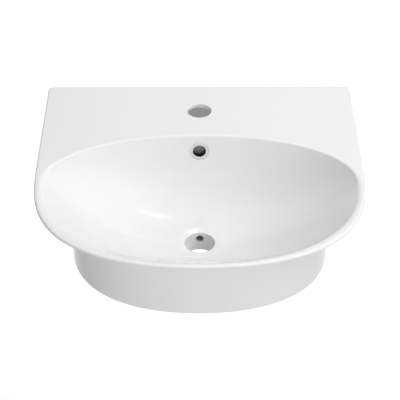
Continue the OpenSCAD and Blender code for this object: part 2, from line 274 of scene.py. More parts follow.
def casting_line(turn):
    """The whole skin in one direction, as radius and height, closed from its end to its start."""
    bowl = Bowl(turn)
    edge_r = RIM_T / 2
    land = deck_r(turn, edge_r)
    soft = min(EDGE_SOFT, (land - bowl.mouth) * 0.8)
    top = bowl.curve_at(bowl.share_at(-soft * EDGE_SOFT_DOWN))
    line = [bowl.place(bowl.share_on_curve(top * i / BOWL_STEPS)) for i in range(BOWL_STEPS + 1)]
    deck_edge = Vector((bowl.mouth + soft, 0))
    line += bend(line[-1], Vector((bowl.mouth, 0)), deck_edge, 7)
    line += straight(deck_edge, Vector((land, 0)), 6)
    for t in quarter(6):
        line.append(Vector((deck_r(turn, edge_r * (1 - math.sin(t))), edge_r * (math.cos(t) - 1))))

    # Under the rim. Where the apron stands close to the deck's edge, the step in to it shrinks away.
    gap = max(0.0, deck_r(turn) - apron_r(turn))
    open_share = min(1.0, gap / OPEN_GAP)
    under_r = edge_r * open_share
    for t in quarter(5):
        line.append(Vector((deck_r(turn, under_r * (1 - math.cos(t))), -edge_r - edge_r * math.sin(t))))
    under_land = deck_r(turn, under_r)
    under = bowl.share_at(-RIM_T, SKIN_T)
    under_place = bowl.place(under, SKIN_T)
    under_place = Vector((min(under_place[0], under_land - 0.2), -RIM_T))
    under_shares = [
        bowl.share_on_curve(bowl.curve_at(under) * (1 - i / CEILING_STEPS))
        for i in range(1, CEILING_STEPS + 1)]
    ceiling = Path(
        [Vector((under_land, -RIM_T)), under_place]
        + [bowl.place(u, SKIN_T) for u in under_shares]
        + [Vector((OUTLET_R + OUTLET_WALL - 4, -BOWL_DEPTH - SKIN_T))])

    # Apron, from the underside down to its foot and up again inside
    outer = apron_r(turn)
    drop = SHUT_DROP * (1 - open_share)
    to_outer = ceiling.length_at_radius(outer)
    join = min(JOIN_SOFT, to_outer / 2)
    reach = to_outer - join
    crease = ceiling.lengths[1]  # where the deck's underside turns down into the bowl
    fold = min(crease, reach * 0.95)
    under_rim = ceiling.between(0, fold, 6) + ceiling.between(fold, reach, 12)
    line += [place - Vector((0, drop * (i + 1) / len(under_rim))) for i, place in enumerate(under_rim)]
    meet = ceiling.at(to_outer)[1] - drop
    wall_top = Vector((outer, meet - max(join, 2.0)))
    line += bend(line[-1], Vector((outer, meet)), wall_top, 6)
    line += straight(wall_top, Vector((outer, FOOT_SOFT - BASIN_H)), 8)
    for t in quarter(5):
        line.append(Vector((
            apron_r(turn, FOOT_SOFT * (1 - math.cos(t))), FOOT_SOFT * (1 - math.sin(t)) - BASIN_H)))
    line.append(Vector((apron_r(turn, APRON_T - FOOT_SOFT), -BASIN_H)))
    for t in quarter(5):
        line.append(Vector((
            apron_r(turn, APRON_T - FOOT_SOFT * (1 - math.sin(t))),
            FOOT_SOFT * (1 - math.cos(t)) - BASIN_H)))
    inner = apron_r(turn, APRON_T)
    to_inner = ceiling.length_at_radius(inner)
    roof = ceiling.at(to_inner)
    line += straight(line[-1], roof - Vector((0, JOIN_SOFT)), 8)
    line += bend(line[-1], roof, ceiling.at(to_inner + JOIN_SOFT), 6)

    # Back under the bowl to the outlet, down its wall and up its bore to the seat and the floor
    boss = OUTLET_R + OUTLET_WALL
    to_boss = ceiling.length_at_radius(boss)
    start, end = to_inner + JOIN_SOFT, to_boss - JOIN_SOFT
    fold = max(crease, start + (end - start) * 0.05)
    line += ceiling.between(start, fold, 8) + ceiling.between(fold, end, 36)
    roof = Vector((boss, -BOWL_DEPTH - SKIN_T))
    line += bend(line[-1], roof, roof - Vector((0, JOIN_SOFT)), 5)
    foot = -BOWL_DEPTH - SEAT_DEPTH - OUTLET_LEN
    line += straight(line[-1], Vector((boss, foot + LIP_SOFT)), 3)
    line += bend(line[-1], Vector((boss, foot)), Vector((boss - LIP_SOFT, foot)), 4)
    line += straight(line[-1], Vector((OUTLET_R + LIP_SOFT, foot)), 2)
    line += bend(line[-1], Vector((OUTLET_R, foot)), Vector((OUTLET_R, foot + LIP_SOFT)), 4)
    bore_top = Vector((OUTLET_R, -BOWL_DEPTH - SEAT_DEPTH))
    seat_top = Vector((SEAT_R, -BOWL_DEPTH))
    up_seat = (seat_top - bore_top).normalized() * LIP_SOFT
    line += straight(line[-1], bore_top - Vector((0, LIP_SOFT)), 8)
    line += bend(line[-1], bore_top, bore_top + up_seat, 4)
    line += straight(line[-1], seat_top - up_seat, 3)
    line += bend(line[-1], seat_top, seat_top + Vector((LIP_SOFT, 0)), 4)
    return line


def casting_turns():
    """Directions from the front round to the wall and back, close together past the back corners."""
    front_lines = round((CORNER_FROM + 90) / LINE_STEP)
    corner_lines = round((CORNER_TO - CORNER_FROM) / CORNER_STEP)
    right = [LINE_STEP * i - 90 for i in range(front_lines + 1)]
    right += [CORNER_FROM + CORNER_STEP * i for i in range(1, corner_lines + 1)]
    right += [CORNER_TO + (90 - CORNER_TO) * i / BACK_LINES for i in range(1, BACK_LINES + 1)]
    right = [math.radians(t) for t in right]
    return right + [math.pi - t for t in reversed(right[1:-1])]


def mesh_of(name, points, faces):
    """An object in the scene from its places, in metres, and its faces."""
    mesh = bpy.data.meshes.new(name)
    mesh.from_pydata(points, [], faces)
    mesh.update()
    piece = bpy.data.objects.new(name, mesh)
    bpy.context.scene.collection.objects.link(piece)
    return piece


def ring_faces(rings, n, looped):
    """Faces between rings of n places each. The first and last rings are joined or capped."""
    faces = []
    for i in range(rings if looped else rings - 1):
        k = (i + 1) % rings
        for j in range(n):
            m = (j + 1) % n
            faces.append((i * n + j, k * n + j, k * n + m, i * n + m))
    if not looped:
        faces.append(tuple(range(n)))
        faces.append(tuple(reversed(range((rings - 1) * n, rings * n))))
    return faces


turns = casting_turns()
lines = [casting_line(turn) for turn in turns]
points = []
for i in range(len(lines[0])):
    for turn, line in zip(turns, lines):
        x, d = ray(turn, line[i][0])
        points.append(metres((x, -d, RIM_Z + line[i][1])))
basin = mesh_of("basin_china", points, ring_faces(len(lines[0]), len(turns), True))

# Basin: the fixing wall, the overflow duct and the holes
# The fixing wall closes the apron against the wall, and its back is ground flat after firing. The duct is
# a hollow cast behind the bowl, which runs from the overflow hole down into the outlet's bore. The
# holes are punched in the soft clay, so their edges are round under the glaze.
BACK_T = 14  # thickness of the fixing wall
WALL_SOFT = 0.4  # radius left on its edges
BOSS_T = 4  # thickness added to it round each bolt
BOSS_R = 20
BOLT_GAP = 280
FIXING_HOLE_R = 8
DUCT_GAP = 12  # clear depth of the duct behind the bowl
DUCT_W = 30
DUCT_SOFT = 3  # radius on the duct's outer edges
DUCT_OUT_R = 5.75
TAP_HOLE_R = 17.5
TAP_HOLE_RUN = 67  # from the wall to the tap hole's centre
HOLE_SOFT = 1.5  # radius that the glaze leaves round the tap hole
OVERFLOW_DROP = 27  # from the rim down to the overflow hole's centre
OVERFLOW_HOLE_R = 11
RING_R = 14
RING_T = 2
RING_SEAT = 0.3  # depth of the flat seat that the ring's flange lies in
RING_PLAY = 0.3
BITE = 2  # depth that one form runs into the next, so that they join


def turned(name, profile, steps=96, place=Matrix.Identity(4), looped=False):
    """A shape turned about its own Z axis from a profile of radius and height, in mm."""
    shape = []
    for r, z in profile:
        for j in range(steps):
            t = 2 * math.pi * j / steps
            shape.append(place @ metres((r * math.cos(t), r * math.sin(t), z)))
    return mesh_of(name, shape, ring_faces(len(profile), steps, looped))


def rod(name, r, low, high, place=Matrix.Identity(4), steps=96):
    """A plain round bar along its own Z axis."""
    return turned(name, [(r, high), (r, low)], steps, place)


def placed(point, turn_x=0.0):
    """The frame of a shape whose origin lies at a place and which is turned about X."""
    return Matrix.Translation(metres(point)) @ Matrix.Rotation(turn_x, 4, "X")


def at_bolt(side):
    """A fixing bolt's frame: its Z axis runs out of the wall from the wall's face."""
    return placed((side * BOLT_GAP / 2, 0, 0), math.pi / 2)


def settle(piece):
    """Turns what a piece's modifiers make of it into its own mesh."""
    seen = bpy.context.evaluated_depsgraph_get()
    mesh = bpy.data.meshes.new_from_object(piece.evaluated_get(seen))
    piece.modifiers.clear()
    piece.data = mesh


def join_or_cut(piece, tool, operation):
    """Joins a tool to a piece or cuts it out, and clears the tool away."""
    step = piece.modifiers.new(operation, "BOOLEAN")
    step.operation = operation
    step.solver = "MANIFOLD"
    step.object = tool
    settle(piece)
    bpy.data.objects.remove(tool)


def block(name, low, high, place=Matrix.Identity(4)):
    """A plain block between two corners."""
    corners = [(x, y, z) for x in (low[0], high[0]) for y in (low[1], high[1]) for z in (low[2], high[2])]
    sides = [(0, 1, 3, 2), (4, 6, 7, 5), (0, 4, 5, 1), (2, 3, 7, 6), (0, 2, 6, 4), (1, 5, 7, 3)]
    return mesh_of(name, [place @ metres(c) for c in corners], sides)


def soft_block(name, low, high, soft):
    """A block with all its edges rounded."""
    piece = block(name, low, high)
    work = bmesh.new()
    work.from_mesh(piece.data)
    bmesh.ops.bevel(work, geom=work.edges[:], offset=soft / 1000, segments=3, profile=0.5, affect="EDGES")
    work.to_mesh(piece.data)
    work.free()
    return piece


def duct_form(name, inner, outer, top, foot_r, width, soft):
    """A slice of the duct beside the bowl's back wall, given width across the basin."""
    bowl = Bowl(math.pi / 2)
    start = bowl.curve_at(bowl.share_at(top))
    shares = [bowl.share_on_curve(start * (1 - i / 40)) for i in range(41)]
    near = [bowl.place(u, inner) for u in shares]
    away = [bowl.place(u, outer) for u in shares]
    slice_line = near + [Vector((foot_r, -BOWL_DEPTH - inner)), Vector((foot_r, -BOWL_DEPTH - outer))]
    slice_line += list(reversed(away)) + [Vector((away[0][0], top))]
    n = len(slice_line)
    shape = []
    for x in (-width / 2, width / 2):
        shape += [metres((x, r - OUTLET_RUN, RIM_Z + z)) for r, z in slice_line]
    faces = [(j, (j + 1) % n, n + (j + 1) % n, n + j) for j in range(n)]
    faces += [tuple(reversed(range(n))), tuple(range(n, 2 * n))]
    piece = mesh_of(name, shape, faces)
    work = bmesh.new()
    work.from_mesh(piece.data)
    bmesh.ops.recalc_face_normals(work, faces=work.faces[:])
    if soft:
        # Only the edges round the duct's two side faces, and not those that run across it
        rims = [
            e for e in work.edges
            if e.calc_face_angle(0) > 1.2 and abs(e.verts[0].co.x - e.verts[1].co.x) < 1e-6]
        bmesh.ops.bevel(work, geom=rims, offset=soft / 1000, segments=3, profile=0.5, affect="EDGES")
    work.to_mesh(piece.data)
    work.free()
    return piece


def overflow_place():
    """The overflow hole's frame: its centre on the bowl's back wall, its Z axis out into the bowl."""
    bowl = Bowl(math.pi / 2)
    u = bowl.share_at(-OVERFLOW_DROP)
    face, behind = bowl.place(u), bowl.place(u, 1)
    lean = math.atan2(face[1] - behind[1], behind[0] - face[0])
    return placed((0, face[0] - OUTLET_RUN, RIM_Z + face[1]), math.pi / 2 - lean)


def linear(code):
    """A colour written as sRGB hex, turned to linear for the shader."""
    parts = [int(code[i:i + 2], 16) / 255 for i in (1, 3, 5)]
    return tuple(c / 12.92 if c <= 0.04045 else ((c + 0.055) / 1.055) ** 2.4 for c in parts) + (1.0,)


def add_node(tree, kind, values=None, links=None, **settings):
    """Adds a node with its settings, its sockets' values and the links into it."""
    node = tree.nodes.new(kind)
    for name, value in settings.items():
        setattr(node, name, value)
    for name, value in (values or {}).items():
        node.inputs[name].default_value = value
    for name, source in (links or {}).items():
        tree.links.new(source, node.inputs[name])
    return node


def new_material(name):
    """An empty material and its tree of nodes."""
    material = bpy.data.materials.new(name)
    material.use_nodes = True
    material.node_tree.nodes.clear()
    return material, material.node_tree


def glazed_vitreous_china():
    """Sprayed and fired glaze over white china: near-white, glossy, with a faint orange-peel ripple.

    The ground back and foot are bare china, which is matt and a little warmer.
    """
    material, tree = new_material("glazed_vitreous_china")
    where = add_node(tree, "ShaderNodeTexCoord").outputs["Object"]
    apart = add_node(tree, "ShaderNodeSeparateXYZ", links={"Vector": where})
    facing = add_node(tree, "ShaderNodeNewGeometry").outputs["Normal"]
    faces = add_node(tree, "ShaderNodeSeparateXYZ", links={"Vector": facing})
    # The ground faces: the back, which faces the wall less than 0.2 mm from it, and the apron's foot
    at_back = add_node(
        tree, "ShaderNodeMath", {1: -0.0002}, {0: apart.outputs["Y"]}, operation="GREATER_THAN")
    looks_back = add_node(
        tree, "ShaderNodeMath", {1: 0.8}, {0: faces.outputs["Y"]}, operation="GREATER_THAN")
    bare_back = add_node(
        tree, "ShaderNodeMath", links={0: at_back.outputs[0], 1: looks_back.outputs[0]}, operation="MULTIPLY")
    foot_z = (RIM_Z - BASIN_H + 0.05) / 1000
    at_foot = add_node(
        tree, "ShaderNodeMath", {1: foot_z}, {0: apart.outputs["Z"]}, operation="LESS_THAN")
    bare = add_node(
        tree, "ShaderNodeMath", links={0: bare_back.outputs[0], 1: at_foot.outputs[0]}, operation="MAXIMUM")
    # Slow drift of the glaze's thickness, over about 60 mm, which shifts its white by a hair
    drift = add_node(
        tree, "ShaderNodeTexNoise", {"Scale": 16.0, "Detail": 2.0, "Roughness": 0.5}, {"Vector": where})
    white = add_node(tree, "ShaderNodeMix", links={0: drift.outputs["Fac"]}, data_type="RGBA")
    white.inputs[6].default_value = linear("#E9E9E9")
    white.inputs[7].default_value = linear("#EBEBEB")
    colour = add_node(tree, "ShaderNodeMix", data_type="RGBA")
    tree.links.new(bare.outputs[0], colour.inputs[0])
    tree.links.new(white.outputs[2], colour.inputs[6])
    colour.inputs[7].default_value = linear("#E6E2DA")
    rough = add_node(tree, "ShaderNodeMapRange", {"To Min": 0.09, "To Max": 0.75}, {"Value": bare.outputs[0]})
    # Orange peel: ripples about 5 mm apart and a few hundredths of a millimetre high
    ripple = add_node(
        tree, "ShaderNodeTexNoise", {"Scale": 190.0, "Detail": 1.0, "Roughness": 0.4}, {"Vector": where})
    bump = add_node(
        tree, "ShaderNodeBump", {"Strength": 0.12, "Distance": 0.00003}, {"Height": ripple.outputs["Fac"]})
    glaze = add_node(
        tree, "ShaderNodeBsdfPrincipled", {"IOR": 1.5},
        {"Base Color": colour.outputs[2], "Roughness": rough.outputs["Result"],
         "Normal": bump.outputs["Normal"]})
    add_node(tree, "ShaderNodeOutputMaterial", links={"Surface": glaze.outputs["BSDF"]})
    return material


def unglazed_china_painted_shade():
    """The duct's inside, where no glaze is sprayed: matt, dull biscuit, painted grey for the shade deep in
    the duct.
    """
    material, tree = new_material("unglazed_china_painted_shade")
    where = add_node(tree, "ShaderNodeTexCoord").outputs["Object"]
    # Painted shade: greys well below the china's white, standing for the shade deep in the duct, mottled at
    # random
    cloud = add_node(tree, "ShaderNodeTexNoise", {"Scale": 60.0, "Detail": 4.0}, {"Vector": where})
    colour = add_node(tree, "ShaderNodeMix", links={0: cloud.outputs["Fac"]}, data_type="RGBA")
    colour.inputs[6].default_value = linear("#B2B0A8")
    colour.inputs[7].default_value = linear("#C2C0B8")
    # Grains of the body, about half a millimetre across
    grain = add_node(tree, "ShaderNodeTexNoise", {"Scale": 1900.0, "Detail": 2.0}, {"Vector": where})
    bump = add_node(
        tree, "ShaderNodeBump", {"Strength": 0.5, "Distance": 0.00008}, {"Height": grain.outputs["Fac"]})
    biscuit = add_node(
        tree, "ShaderNodeBsdfPrincipled", {"Roughness": 0.85},
        {"Base Color": colour.outputs[2], "Normal": bump.outputs["Normal"]})
    add_node(tree, "ShaderNodeOutputMaterial", links={"Surface": biscuit.outputs["BSDF"]})
    return material


skins = (glazed_vitreous_china(), unglazed_china_painted_shade())
for skin in skins:
    basin.data.materials.append(skin)

# The fixing wall with a boss round each bolt
wall_half = BASIN_W / 2 - APRON_IN_SIDE - APRON_T / 2
wall_low = (-wall_half, -BACK_T, RIM_Z - BASIN_H + BITE)
wall_high = (wall_half, 0, RIM_Z - RIM_T / 3)
join_or_cut(basin, soft_block("fixing_wall", wall_low, wall_high, WALL_SOFT), "UNION")
boss_face = BACK_T + BOSS_T
boss_line = [(BOSS_R - 1, boss_face), (BOSS_R, boss_face - 1), (BOSS_R, BACK_T - BITE)]
for side in (-1, 1):
    join_or_cut(basin, turned("boss", boss_line, 96, at_bolt(side)), "UNION")

# The duct's walls, then its hollow, which is left bare, and its way out into the outlet's bore
join_or_cut(basin, duct_form(
    "duct", SKIN_T / 2, DUCT_GAP + 2 * SKIN_T, -RIM_T / 2, OUTLET_R + OUTLET_WALL / 2,
    DUCT_W + 2 * SKIN_T, DUCT_SOFT), "UNION")
hollow = duct_form(
    "duct_hollow", SKIN_T, SKIN_T + DUCT_GAP, BITE + OVERFLOW_HOLE_R - OVERFLOW_DROP,
    OUTLET_R + OUTLET_WALL / 2 + 1, DUCT_W, 0)
# The hollow's faces take the bare china, painted grey as the shade inside the duct
for skin in skins:
    hollow.data.materials.append(skin)
for face in hollow.data.polygons:
    face.material_index = 1
join_or_cut(basin, hollow, "DIFFERENCE")
join_or_cut(basin, rod("duct_out", DUCT_OUT_R, 0, OUTLET_R + OUTLET_WALL, placed(
    (0, -OUTLET_RUN, RIM_Z - BOWL_DEPTH - SKIN_T - DUCT_GAP / 2), -math.pi / 2), 48), "DIFFERENCE")

# The overflow hole with the ring's seat, then the fixing holes
at_ring = overflow_place()
join_or_cut(basin, rod("overflow_hole", OVERFLOW_HOLE_R, -SKIN_T - BITE, BITE, at_ring), "DIFFERENCE")
join_or_cut(basin, rod(
    "ring_seat", RING_R + RING_PLAY, -RING_SEAT, RING_T + BITE, at_ring), "DIFFERENCE")
for side in (-1, 1):
    join_or_cut(
        basin, rod("fixing_hole", FIXING_HOLE_R, -BITE, boss_face + BITE, at_bolt(side)), "DIFFERENCE")
# The tap hole's cutter opens out at the top in a quarter round, then flat above the deck
punch = [(TAP_HOLE_R + 2 * HOLE_SOFT, 3), (TAP_HOLE_R + HOLE_SOFT + 0.6, 0.06)]
punch += [
    (TAP_HOLE_R + HOLE_SOFT * (1 - math.cos(t)), HOLE_SOFT * (math.sin(t) - 1))
    for t in (math.radians(15 * i) for i in range(5, -1, -1))]
punch += [(TAP_HOLE_R, -RIM_T - BITE)]
join_or_cut(basin, turned(
    "tap_hole", punch, 128, placed((0, -TAP_HOLE_RUN, RIM_Z))), "DIFFERENCE")


def smooth(piece, sharp_over=38):
    """Smooth shading that keeps the edges sharper than an angle, led by each corner's larger faces."""
    work = bmesh.new()
    work.from_mesh(piece.data)
    bmesh.ops.dissolve_degenerate(work, edges=work.edges[:], dist=1e-7)
    for face in work.faces:
        face.smooth = True
    for edge in work.edges:
        edge.smooth = edge.calc_face_angle(0) < math.radians(sharp_over)
    work.to_mesh(piece.data)
    work.free()
    step = piece.modifiers.new("weighted normals", "WEIGHTED_NORMAL")
    step.keep_sharp = True
    settle(piece)


smooth(basin)
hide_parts("basin")
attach(basin, "root")

# Overflow ring
# A brass stamping with a domed flange and a thin sleeve, chrome plated, pushed into the overflow hole
# until the flange lies in its seat. The sleeve's inside is painted dark, as painted shade from the deep duct
# behind it.
SLEEVE_R = OVERFLOW_HOLE_R - RING_PLAY
SLEEVE_T = 1.4
SLEEVE_PAST = 2  # length of the sleeve past the china, into the duct
SLEEVE_SOFT = 0.3  # corner left on the sleeve's end
RING_BORE_R = SLEEVE_R - SLEEVE_T
FLANGE_EDGE = 0.5  # height of the flange's upright edge, where its dome starts
DOME_STEPS = 12


def polished_chrome():
    """Bright chrome plate on a polished stamping: a mirror with the faintest blur."""
    material, tree = new_material("polished_chrome")
    where = add_node(tree, "ShaderNodeTexCoord").outputs["Object"]
    # Marks of the buffing wheel, about a millimetre apart, which shift the gloss by a trace
    wipe = add_node(tree, "ShaderNodeTexNoise", {"Scale": 900.0, "Detail": 2.0}, {"Vector": where})
    rough = add_node(
        tree, "ShaderNodeMapRange", {"To Min": 0.06, "To Max": 0.12}, {"Value": wipe.outputs["Fac"]})
    plate = add_node(
        tree, "ShaderNodeBsdfPrincipled", {"Base Color": linear("#E6E6E6"), "Metallic": 1.0},
        {"Roughness": rough.outputs["Result"]})
    add_node(tree, "ShaderNodeOutputMaterial", links={"Surface": plate.outputs["BSDF"]})
    return material


def sleeve_painted_shade():
    """The sleeve's inside: dull metal with a blurred shine, its colour painted dark as the shade of the deep
    duct.
    """
    material, tree = new_material("sleeve_painted_shade")
    where = add_node(tree, "ShaderNodeTexCoord").outputs["Object"]
    # Painted shade mottled at random, about 2.5 mm across
    shade_mottle = add_node(tree, "ShaderNodeTexNoise", {"Scale": 400.0, "Detail": 2.0}, {"Vector": where})
    colour = add_node(tree, "ShaderNodeMix", links={0: shade_mottle.outputs["Fac"]}, data_type="RGBA")
    colour.inputs[6].default_value = linear("#2E2E2C")
    colour.inputs[7].default_value = linear("#3E3D3A")
    metal = add_node(
        tree, "ShaderNodeBsdfPrincipled", {"Metallic": 1.0, "Roughness": 0.4},
        {"Base Color": colour.outputs[2]})
    add_node(tree, "ShaderNodeOutputMaterial", links={"Surface": metal.outputs["BSDF"]})
    return material


dome_middle, dome_half = (RING_R + RING_BORE_R) / 2, (RING_R - RING_BORE_R) / 2
dome = []
for i in range(DOME_STEPS + 1):
    t = math.pi * i / DOME_STEPS
    rise = (RING_T - FLANGE_EDGE) * math.sin(t) ** 0.8
    dome.append((dome_middle - dome_half * math.cos(t), FLANGE_EDGE + rise))
sleeve_end = -SKIN_T - SLEEVE_PAST
ring_profile = dome + [
    (RING_R, 0), (SLEEVE_R, 0), (SLEEVE_R, sleeve_end + SLEEVE_SOFT),
    (SLEEVE_R - SLEEVE_SOFT, sleeve_end), (RING_BORE_R + SLEEVE_SOFT, sleeve_end),
    (RING_BORE_R, sleeve_end + SLEEVE_SOFT)]
in_seat = at_ring @ Matrix.Translation(metres((0, 0, -RING_SEAT)))
ring = turned("overflow_ring_trim", ring_profile, 96, in_seat, True)
smooth(ring, 50)
ring.data.materials.append(polished_chrome())
ring.data.materials.append(sleeve_painted_shade())
# Faces inside the sleeve's bore, below the seat, take the painted shade
for face in ring.data.polygons:
    place = at_ring.inverted() @ face.center * 1000
    if place[2] < 0 and math.hypot(place[0], place[1]) < RING_BORE_R + 0.1:
        face.material_index = 1
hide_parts("overflow_ring")
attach(ring, "root")

# Wall plugs
# Grey nylon plugs, injection moulded, ribbed along their length and split so that the bolt spreads them in
# the drilled wall. A thin lip stops each one at the wall's face.
SIDES = ((-1, "left"), (1, "right"))
BOLT_R = 5
BOLT_IN = 64  # length of the bolt in the wall
BOLT_OUT = 46  # and in front of it
BOLT_PLAY = 0.2
FIXING_BORE_R = BOLT_R + BOLT_PLAY
PLUG_R = 7
PLUG_LEN = 70
PLUG_LIP = 1  # height that the lip stands out of the wall
PLUG_TIP = PLUG_LIP - PLUG_LEN
RIB_RUN = 3.5  # distance from one rib to the next
RIB_H = 0.7
RIB_FIRST = -4.0  # heights between which the ribs lie, measured from the wall's face
RIB_LAST = PLUG_TIP + 6
SPLIT_HALF = 0.6  # half the width of a split
SPLIT_FROM = 8 - PLUG_LEN  # heights between which the plug is split
SPLIT_TO = -16


def moulded_nylon(name, low, high, rough):
    """Injection-moulded nylon: a satin skin with a fine mould grain and a trace of uneven colour."""
    material, tree = new_material(name)
    where = add_node(tree, "ShaderNodeTexCoord").outputs["Object"]
    # Swirls of the pigment, about 7 mm across
    cloud = add_node(tree, "ShaderNodeTexNoise", {"Scale": 140.0, "Detail": 2.0}, {"Vector": where})
    colour = add_node(tree, "ShaderNodeMix", links={0: cloud.outputs["Fac"]}, data_type="RGBA")
    colour.inputs[6].default_value = linear(low)
    colour.inputs[7].default_value = linear(high)
    # Mould grain about 0.4 mm across
    grain = add_node(tree, "ShaderNodeTexNoise", {"Scale": 2500.0, "Detail": 2.0}, {"Vector": where})
    bump = add_node(
        tree, "ShaderNodeBump", {"Strength": 0.3, "Distance": 0.00003}, {"Height": grain.outputs["Fac"]})
    skin = add_node(
        tree, "ShaderNodeBsdfPrincipled",
        {"Roughness": rough, "IOR": 1.53, "Subsurface Weight": 0.12, "Subsurface Scale": 0.0015},
        {"Base Color": colour.outputs[2], "Normal": bump.outputs["Normal"]})
    add_node(tree, "ShaderNodeOutputMaterial", links={"Surface": skin.outputs["BSDF"]})
    return material


def fitted(piece, material, node):
    """Gives a fixing piece its smooth shading, material, place in the model and CAD node."""
    smooth(piece, 32)
    piece.data.materials.clear()
    piece.data.materials.append(material)
    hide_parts(node)
    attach(piece, "root")


grey_nylon = moulded_nylon("moulded_grey_nylon", "#7F8286", "#8B8E92", 0.48)
core_r = PLUG_R - RIB_H
plug_line = [(PLUG_R - 0.3, PLUG_LIP), (PLUG_R, PLUG_LIP - 0.3), (PLUG_R, 0), (core_r, -0.6)]
z = RIB_FIRST
while z > RIB_LAST:
    plug_line += [(core_r, z + 0.7), (PLUG_R, z), (PLUG_R - 0.1, z - 0.5), (core_r, z - 1.2)]
    z -= RIB_RUN
plug_line += [
    (core_r, PLUG_TIP + 3), (PLUG_R - 2, PLUG_TIP + 0.6), (PLUG_R - 3, PLUG_TIP), (0.4, PLUG_TIP),
    (0.4, -BOLT_IN - BITE), (FIXING_BORE_R, -BOLT_IN - BITE),
    (FIXING_BORE_R, PLUG_LIP - 0.4), (FIXING_BORE_R + 0.4, PLUG_LIP)]
for side, hand in SIDES:
    plug = turned("wall_plug_" + hand + "_moulding", plug_line, 64, at_bolt(side), True)
    for x, y in ((SPLIT_HALF, PLUG_R + 1), (PLUG_R + 1, SPLIT_HALF)):
        split = block("split", (-x, -y, SPLIT_FROM), (x, y, SPLIT_TO), at_bolt(side))
        join_or_cut(plug, split, "DIFFERENCE")
    fitted(plug, grey_nylon, "wall_plug_" + hand)

# Hanger bolts
# Steel bolts, cold formed with rolled threads and zinc plated: a coarse thread that bites in the plug, a
# plain shank through the casting and an M10 thread for the nut.
BOLT_POINT = 8  # length of the point
POINT_SHARE = 0.2  # share of the bolt's radius left at its tip
COARSE_PITCH = 4.5
COARSE_DEEP = 1.4
COARSE_END = -8
COARSE_STEPS = 12  # rings of the mesh to each turn of the thread
FINE_PITCH = 1.5
FINE_DEEP = 0.9
FINE_START = 10
FINE_STEPS = 8
BOLT_SIDES = 40  # places in each ring of the mesh


def bright_zinc_plate():
    """Bright zinc plate with a clear passivation: a soft bluish shine with faint warm patches."""
    material, tree = new_material("bright_zinc_plate")
    where = add_node(tree, "ShaderNodeTexCoord").outputs["Object"]
    # Warm patches of the passivation, about 11 mm across
    patches = add_node(tree, "ShaderNodeTexNoise", {"Scale": 90.0, "Detail": 3.0}, {"Vector": where})
    colour = add_node(tree, "ShaderNodeMix", links={0: patches.outputs["Fac"]}, data_type="RGBA")
    colour.inputs[6].default_value = linear("#BCC0C6")
    colour.inputs[7].default_value = linear("#CBC8BE")
    # Crystals of the plate, about 0.3 mm across, break up the shine
    crystal = add_node(tree, "ShaderNodeTexNoise", {"Scale": 3200.0, "Detail": 2.0}, {"Vector": where})
    rough = add_node(
        tree, "ShaderNodeMapRange", {"To Min": 0.2, "To Max": 0.4}, {"Value": crystal.outputs["Fac"]})
    plate = add_node(
        tree, "ShaderNodeBsdfPrincipled", {"Metallic": 1.0},
        {"Base Color": colour.outputs[2], "Roughness": rough.outputs["Result"]})
    add_node(tree, "ShaderNodeOutputMaterial", links={"Surface": plate.outputs["BSDF"]})
    return material


def thread_depth(z, turn_share):
    """How far the bolt's surface lies inside its full radius, at a height and a share of a turn."""
    if z < COARSE_END:
        # Sharp crests with a flat root between them
        ease = min(1.0, (COARSE_END - z) / COARSE_PITCH)
        phase = (z / COARSE_PITCH - turn_share) % 1
        return COARSE_DEEP * ease * min(1.0, abs(phase - 0.5) * 3.2)
    if z > FINE_START:
        # Crests and roots both cut a little flat
        ease = min(1.0, (z - FINE_START) / FINE_PITCH)
        phase = (z / FINE_PITCH - turn_share) % 1
        return FINE_DEEP * ease * min(1.0, max(0.0, abs(phase - 0.5) * 2.6 - 0.2))
    return 0.0


zinc = bright_zinc_plate()
coarse_rings = int((BOLT_IN + COARSE_END) / COARSE_PITCH * COARSE_STEPS) + 1
fine_rings = int((BOLT_OUT - FINE_START) / FINE_PITCH * FINE_STEPS)
heights = [-BOLT_IN + COARSE_PITCH * i / COARSE_STEPS for i in range(coarse_rings)]
heights += [COARSE_END, FINE_START]
heights += [FINE_START + FINE_PITCH * i / FINE_STEPS for i in range(1, fine_rings)]
heights.append(BOLT_OUT)
bolt_places = []
for z in reversed(heights):
    full = BOLT_R
    if z < BOLT_POINT - BOLT_IN:
        full = BOLT_R * (POINT_SHARE + (1 - POINT_SHARE) * (z + BOLT_IN) / BOLT_POINT)
    if z > BOLT_OUT - 1:
        full = BOLT_R - (z - BOLT_OUT + 1) * 0.9
    for j in range(BOLT_SIDES):
        r = full - min(thread_depth(z, j / BOLT_SIDES), full * 0.5)
        t = 2 * math.pi * j / BOLT_SIDES
        bolt_places.append((r * math.cos(t), r * math.sin(t), z))
for side, hand in SIDES:
    bolt = mesh_of(
        "hanger_bolt_" + hand + "_steel", [at_bolt(side) @ metres(place) for place in bolt_places],
        ring_faces(len(heights), BOLT_SIDES, False))
    fitted(bolt, zinc, "hanger_bolt_" + hand)

# Bushes
# White nylon bushes, injection moulded, that centre the bolts in the casting's holes and keep the steel off
# the china. The flange spreads the nut's push.
BUSH_T = 2.3  # thickness of the bush's sleeve
BUSH_R = FIXING_BORE_R + BUSH_T
BUSH_FLANGE_R = 14
BUSH_FLANGE_T = 3

